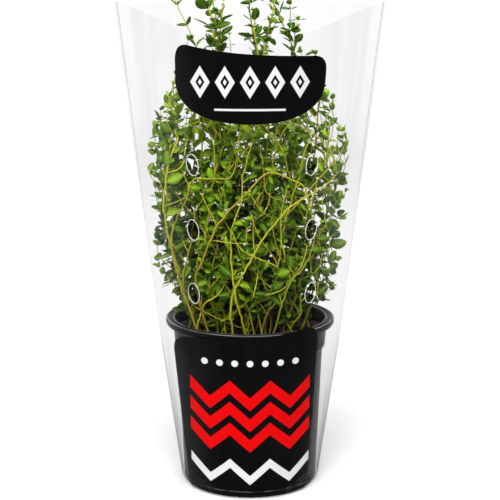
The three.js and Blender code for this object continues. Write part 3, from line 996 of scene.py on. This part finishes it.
# Long stems that arch over the front and back of the bush: depth, woodiness, radius and points (x, z)
ARCHES = (
    (-45, 1, 0.75, "-24 98  -32 134  -28 148  -18 171  -4 186  10 200  24 196  32 191  34 178"),
    (-42, 0.7, 0.65, "-30 99  -44 140  -46 162  -37 184  -32 196  -12 197  -7 212  -5 228"),
    (-46, 0.2, 0.6, "-2 99  -9 130  -11 163  -5 184  -4 198  2 220"),
    (-46, 0.35, 0.7, "-10 98  -11 123  -2 145  10 165  24 181  43 191  53 198"),
    (-40, 0.4, 0.6, "14 99  22 130  35 150  37 168  33 186"),
    (-34, 0.3, 0.6, "6 180  14 208  23 227  40 219  49 208  51 196"),
    (-32, 0.2, 0.55, "28 180  36 190  49 206  39 214  30 228"),
    (-8, 0, 0.6, "-14 190  -21 235  -27 258  -36 280  -47 304"),
    (-28, 0.8, 0.65, "-32 98  -40 131  -35 157  -33 180  -40 200"),
    (-41, 0.5, 0.55, "-33 99  -27 120  -17 129  -13 145"),
    (-41, 0.6, 0.6, "3 98  -1 117  -8 132  -16 150"),
    (38, 0.6, 0.8, "20 98  30 130  18 165  -6 188  -28 186  -36 172"),
    (40, 0.3, 0.75, "-12 98  -24 135  -10 170  16 190  36 204"),
    (30, 0.8, 0.7, "34 98  47 135  44 170  30 196  26 222"),
    (34, 0.2, 0.6, "-34 99  -46 140  -38 180  -44 204"),
)


def build_arches(looks):
    foliage = Foliage(300)
    for k, (depth, wood, radius, points) in enumerate(ARCHES):
        foliage.draw = draw = np.random.default_rng(300 + k)
        numbers = [int(word) for word in points.split()]
        route = []
        for x, z in zip(numbers[::2], numbers[1::2]):
            far = abs(between(0.72 * depth, depth, clamped((z - SOIL_TOP) / 40))) + 2
            route.append((x, copysign(min(far, sleeve_depth(x, z) - 3.2), depth), z))
        if route[0][2] > SOIL_TOP + 10:
            route.insert(0, tuple(spring_point(np.array(route[0]))))
        path = curve_through(route, 3)
        path[1:-1:2] += draw.normal(0, 0.3, path[1:-1:2].shape) * (1, 0.3, 1)
        foliage.tube(path, (radius, radius * 0.5), (wood, wood * 0.25), draw.random(), 6)
        turn = draw.random() * pi
        at = 7
        while at < len(path) - 1:
            spot = path[at]
            along = unit(spot - path[at - 1])
            share = at / len(path)
            gap = 4
            if spot[2] > BODY_TOP:
                foliage.pair(spot, along, turn, 9.8, 1, 0.35, 0.62)
                foliage.pair(spot, along, turn + QUARTER, 4.5, 0.6, 0.6, 0.7)
            else:
                if draw.random() < 0.7:
                    foliage.pair(spot, along, turn, between(10, 8, share), 1.15, 0.45 + 0.3 * share)
                if draw.random() < 0.5:
                    way = along * 0.5 + side_way(along, turn + QUARTER)
                    foliage.shoot(spot, way, draw.uniform(10, 22), draw.uniform(6, 8.5), 0.5, 0.38)
                gap = draw.integers(3, 6)
            turn += QUARTER
            at += gap
        foliage.tips(path, turn, 1, ((6, 0.8), (3.8, 0.4)), 0.7)
    foliage.build("thyme_arching_stems", looks)


def build_fine_stems(looks):
    """Young thin stems that rise from the compost between the main ones, and low shoots at both sides."""
    foliage = Foliage(88)
    draw = foliage.draw
    for i in range(FINE_STEMS):
        share = 0.9 * sqrt((i + 0.5) / FINE_STEMS)
        place = i * GOLDEN_ANGLE + 0.8
        start = vector(38 * share * cos(place), 37 * share * sin(place), SOIL_TOP + 0.6)
        outward = polar(0.1 + 0.4 * share * draw.random(), place)
        slant = vector(draw.normal(0, 0.28), draw.normal(0, 0.28), 1)
        path = foliage.walk(start, outward + slant, draw.uniform(45, 150), 0.1, 0.5)
        if len(path) < 6:
            continue
        stem_points.extend(path[4:])
        foliage.tube(path, (draw.uniform(0.4, 0.7), 0.28), (draw.uniform(0.1, 0.7), 0), draw.random(), 5)
        foliage.leafy(path, draw.uniform(14, 26), draw.uniform(7, 10.5), draw.uniform(0.1, 0.5), 2)
    for i in range(LOW_SHOOTS):
        place = (i % 2) * pi + draw.normal(0, 0.65)
        start = polar(draw.uniform(27, 41), place, SOIL_TOP + 0.7)
        heading = vector(draw.normal(0, 0.45), draw.normal(0, 0.45), 0.8)
        length, leaf_size = draw.uniform(12, 34), draw.uniform(7, 10)
        foliage.shoot(start, heading, length, leaf_size, draw.uniform(0.1, 0.5), wood=0.4)
    foliage.build("thyme_fine_stems", looks)


def build_side_shoots(looks):
    """Loose shoots with larger leaves that stand out at the bush's left and right, with gaps between them."""
    foliage = Foliage(19, 1.05)
    draw = foliage.draw
    for i in range(SIDE_SHOOTS):
        z = between(104, 252, (i + draw.random()) / SIDE_SHOOTS)
        side = 1 if i % 5 in (1, 3) else -1
        wide = bush_reach(z)
        start = vector(side * wide * draw.uniform(0.72, 0.86), draw.uniform(-0.45, 0.4) * wide, z)
        if not is_clear(start, 1):
            continue
        heading = vector(side * draw.uniform(0.2, 0.9), draw.normal(-0.1, 0.3), draw.uniform(0.2, 1.1))
        leaf_size = draw.uniform(8.5, 12.5)
        foliage.shoot(start, heading, draw.uniform(12, 30), leaf_size, draw.uniform(0.15, 0.55), loose=True)
    foliage.build("thyme_side_shoots", looks)


def build_trailing_stems(looks):
    """Thin bright stems that wander over the outside of the bush, with few leaves."""
    foliage = Foliage(52)
    draw = foliage.draw
    low, high = TRAILING_HEIGHTS
    for i in range(TRAILING_STEMS):
        z = draw.uniform(low, high)
        x = draw.uniform(-0.85, 0.85) * bush_reach(z)
        y = (sleeve_depth(x, z) - draw.uniform(3, 22)) * (-1 if i % 5 < 3 else 1)
        start = vector(x, y, z)
        if not is_clear(start, 0.95):
            continue
        heading = vector(draw.normal(0, 1.1), draw.normal(0, 0.2), draw.uniform(-0.1, 1.1))
        path = foliage.walk(start, heading, draw.uniform(18, 55), 0.2, 0.45)
        if len(path) < 5:
            continue
        path = joined(path)
        radii, wood = (draw.uniform(0.28, 0.46), 0.22), (draw.uniform(0, 0.5), 0)
        foliage.tube(path, radii, wood, draw.uniform(0.4, 1), 5)
        leaf_size = draw.uniform(6, 11) * between(1.1, 0.75, (z - low) / (high - low))
        foliage.leafy(path, 14, leaf_size, draw.uniform(0.15, 0.65), 1.8)
    foliage.build("thyme_trailing_stems", looks)


# Sleeve


def film_point(share, z, offset):
    """A point of the sleeve. share runs from the +x crease round the back to 0.5 and home along the front."""
    radius, crease = sleeve_size(z)
    tangent = acos(min(radius / crease, 1))
    straight = sqrt(crease * crease - radius * radius)
    whole = 2 * straight + radius * (pi - 2 * tangent)
    run = (share % 0.5) * 2 * whole
    near = min(run, whole - run)
    if near < straight:
        x = between(crease, radius * cos(tangent), near / straight)
    else:
        x = radius * cos(tangent + (near - straight) / radius)
    grow = (1 if share < 0.5 else -1) * (radius + offset) / radius
    return copysign(x, whole / 2 - run) * grow, sleeve_depth(x, z) * grow


def film_wrinkle(x, y, z):
    """How far the loose film sinks inward, in upright folds that fade out over the pot."""
    fold = noise.noise(Vector((x / 13, y / 13, z / 170)))
    fine = noise.noise(Vector((x / 5, y / 5, z / 60 + 9)))
    return clamped((z - POT_HEIGHT - 4) / 90) * (0.55 * (1 + fold) / 2 + 0.18 * (1 + fine) / 2)


def build_sleeve():
    around, rows = 200, 64
    layers = []
    for offset in (0, -FILM):
        layer = []
        for k in range(rows):
            ring = []
            for i in range(around):
                share = i / around
                top = SLEEVE_TOP
                if share > 0.5:
                    for _ in range(4):
                        top = scoop_height(film_point(share, top, 0)[0])
                z = between(SLEEVE_BOTTOM, top, k / (rows - 1))
                x, y = film_point(share, z, offset)
                pull = 1 - film_wrinkle(x, y, z) / max(hypot(x, y), 1) * min(abs(y) / 8, 1)
                ring.append((x * pull, y * pull, z))
            layer.append(ring)
        layers.append(layer)
    loops = layers[0] + layers[1][::-1]
    faces = bands(len(loops), around, closed=True)
    sleeve = make_object("film_sleeve", [point for loop in loops for point in loop], faces, [film_material()])
    punch, skin = turned([(0, -7), (AIR_HOLE_RADIUS, -7), (AIR_HOLE_RADIUS, 7), (0, 7)], 40)
    punches = merged(
        ([middle + wide * a * AIR_HOLE_WIDTH + tall * b + out * c for a, b, c in punch], skin)
        for middle, _, out, wide, tall in air_holes()
    )
    cut(sleeve, make_object("punches", *punches, []), "DIFFERENCE", 40)
    dress(sleeve, "film", "sleeve")


def air_holes():
    """Each air hole's middle, its side, the way it faces, and the ways of its width and height."""
    rise = vector(0, 0, 1)
    for z in AIR_HOLE_HEIGHTS:
        for x in AIR_HOLE_COLUMNS:
            for side in (-1, 1):
                y = side * sleeve_depth(x, z)
                angle = atan2(y, x)
                level = polar(1, angle + QUARTER)
                tilt = -AIR_HOLE_TILT * side * copysign(1, x)
                wide = level * cos(tilt) - rise * sin(tilt)
                tall = rise * cos(tilt) + level * sin(tilt)
                yield vector(x, y, z), side, polar(1, angle), wide, tall


def build_hole_rims():
    """The slightly raised edge round each punched hole."""
    points, faces = [], []
    sides, around, thick = 6, 48, 0.2
    reach = AIR_HOLE_RADIUS + 0.05
    for middle, side, out, wide, tall in air_holes():
        faces += bands(around, sides, len(points), closed=True)
        for cosine, sine, _ in circle(1, around):
            flat = middle + wide * reach * AIR_HOLE_WIDTH * cosine + tall * reach * sine
            centre = vector(flat[0], side * (sleeve_depth(flat[0], flat[2]) - 0.35), flat[2])
            away = wide * cosine + tall * sine
            for j in range(sides):
                spin = -2 * pi * j / sides
                points.append(centre + thick * (away * cos(spin) + out * sin(spin)))
    dress(make_object("film_hole_rims", points, faces, [cut_edge_material()]), "film")


def skin_patch(name, outline, low, high, widest, look):
    """A thin skin on the front of the film inside an anticlockwise outline of (x, z) points."""
    columns, rows = 72, 72
    points = []
    for k in range(rows + 1):
        z = between(low, high, k / rows)
        radius, crease = sleeve_size(z)
        reach = min(widest, crease - 0.3)
        row = [between(-reach, reach, i / columns) for i in range(columns + 1)]
        for offset, xs in ((PANEL_LIFT + PANEL, row), (PANEL_LIFT, row[::-1])):
            grow = (radius + offset) / radius
            points += [(x * grow, -sleeve_depth(x, z) * grow, z) for x in xs]
    around = 2 * (columns + 1)
    top = rows * around
    faces = bands(rows + 1, around)
    for i in range(columns):
        j, back, ahead = i + 1, around - 1 - i, around - 2 - i
        faces += [(i, back, ahead, j), (top + i, top + j, top + ahead, top + back)]
    patch = make_object(name, points, faces, [look])
    count = len(outline)
    block = [(x, y, z) for y in (-5, -90) for x, z in outline]
    ends = [tuple(range(count))[::-1], tuple(range(count, 2 * count))]
    cut(patch, make_object("outline", block, bands(2, count) + ends, []), "INTERSECT", 40)
    return patch


def curved_outline(start, *curves):
    """Points along Bezier curves (steps, point, ...), each of which starts where the one before it ends."""
    result = []
    for steps, *points in curves:
        for i in range(steps):
            level = [np.array(p, dtype=float) for p in (start, *points)]
            while len(level) > 1:
                level = [a + (b - a) * (i / steps) for a, b in zip(level, level[1:])]
            result.append(tuple(level[0]))
        start = points[-1]
    return result


def build_panels():
    upper = curved_outline(
        (-35, 272.8),
        (20, (-10, 266.6), (36, 266.9)),
        (14, (43.4, 266.9), (43.2, 259)),
        (1, (42.8, 252)),
        (20, (41.5, 236), (24, 229), (0, 229)),
        (20, (-24, 229), (-41.3, 236), (-42.3, 252)),
        (1, (-42.4, 264)),
        (14, (-42.4, 274.2), (-35, 272.8)),
    )
    bottom = SLEEVE_BOTTOM + 0.8
    lower = curved_outline(
        (-37.8, bottom),
        (1, (35.4, bottom)),
        (1, (40.4, 97)),
        (14, (41, 108.6), (33, 107.3)),
        (14, (24, 106), (16, 104.2), (4, 104.1)),
        (14, (-22, 103.6), (-40, 99.6)),
        (14, (-46.2, 98.2), (-46.2, 91)),
        (1, (-37.8, bottom)),
    )
    ink = print_material("upper_print_ink", upper_design)
    dress(skin_patch("upper_print", upper[::-1], 226, 276, 47, ink), "print", "upper_panel")
    ink = print_material("lower_print_ink", lower_design)
    dress(skin_patch("lower_print", lower, bottom - 0.4, 110, 48, ink), "print", "lower_panel")


# Studio


def build_floor():
    """A plain pale floor, wide enough to reach the horizon from any side."""
    edge = circle(12000, 96)
    make_object("studio_floor", edge, [tuple(range(len(edge)))], [floor_material()])


def add_light(name, kind, energy, way, **settings):
    """A lamp that shines the way given."""
    data = bpy.data.lights.new(name, kind)
    data.energy = energy
    for key, value in settings.items():
        setattr(data, key, value)
    light = linked(name, data)
    light.rotation_euler = Vector(way).to_track_quat("-Z", "Y").to_euler()
    return light


def build_studio():
    """Floor, four lights, and a white world that lights the bush from behind more than from the front."""
    build_floor()
    middle = Vector((0, 0, 0.16))
    for name, place, width, height, power in (
        ("left", (-1.1, -0.35, 0.4), 0.3, 0.9, 1.2),
        ("front", (-0.35, -1.35, 1.25), 0.3, 0.3, 4.2),
        ("back", (0.2, 1, 1.1), 0.9, 0.7, 5.5),
    ):
        way = middle - Vector(place)
        light = add_light(name, "AREA", power, way, shape="RECTANGLE", size=width, size_y=height)
        light.location = place
    add_light("sun", "SUN", 4.05, (0.03, 0.7, -1), angle=radians(55))
    world = bpy.data.worlds.new("studio")
    sky = Nodes(world)
    deep = sky.add("SeparateXYZ", [sky.add("TexCoord", (), "Generated")], "Y")
    glow = sky.add("MapRange", (deep, -0.4, 0.8, 0.12, 0.55))
    seen = sky.add("LightPath", (), "Is Camera Ray")
    backdrop = world.node_tree.nodes["Background"]
    sky.feed(backdrop.inputs["Color"], (1, 1, 1))
    sky.feed(backdrop.inputs["Strength"], sky.add("MapRange", (seen, 0, 1, glow, 1.05)))
    bpy.context.scene.world = world
    bpy.context.scene.view_settings.view_transform = "Standard"


def build_camera():
    """The photograph's view, fitted to the pot's rim and the sleeve's edges."""
    data = bpy.data.cameras.new("camera")
    data.sensor_width = 36
    data.lens = EYE_LENS
    data.clip_start = 0.01
    camera = linked("camera", data)
    camera.location = (0, -EYE_DISTANCE * MM, EYE_HEIGHT * MM)
    camera.rotation_euler = (radians(90 - EYE_DIP), 0, 0)
    bpy.context.scene.camera = camera


build_camera()
build_studio()
build_pot()
build_soil()
thyme_looks = [stem_material(), leaf_material()]
for index in range(STEM_COUNT):
    build_stem(index, thyme_looks)
build_arches(thyme_looks)
build_fine_stems(thyme_looks)
build_side_shoots(thyme_looks)
build_trailing_stems(thyme_looks)
build_sleeve()
build_hole_rims()
build_panels()
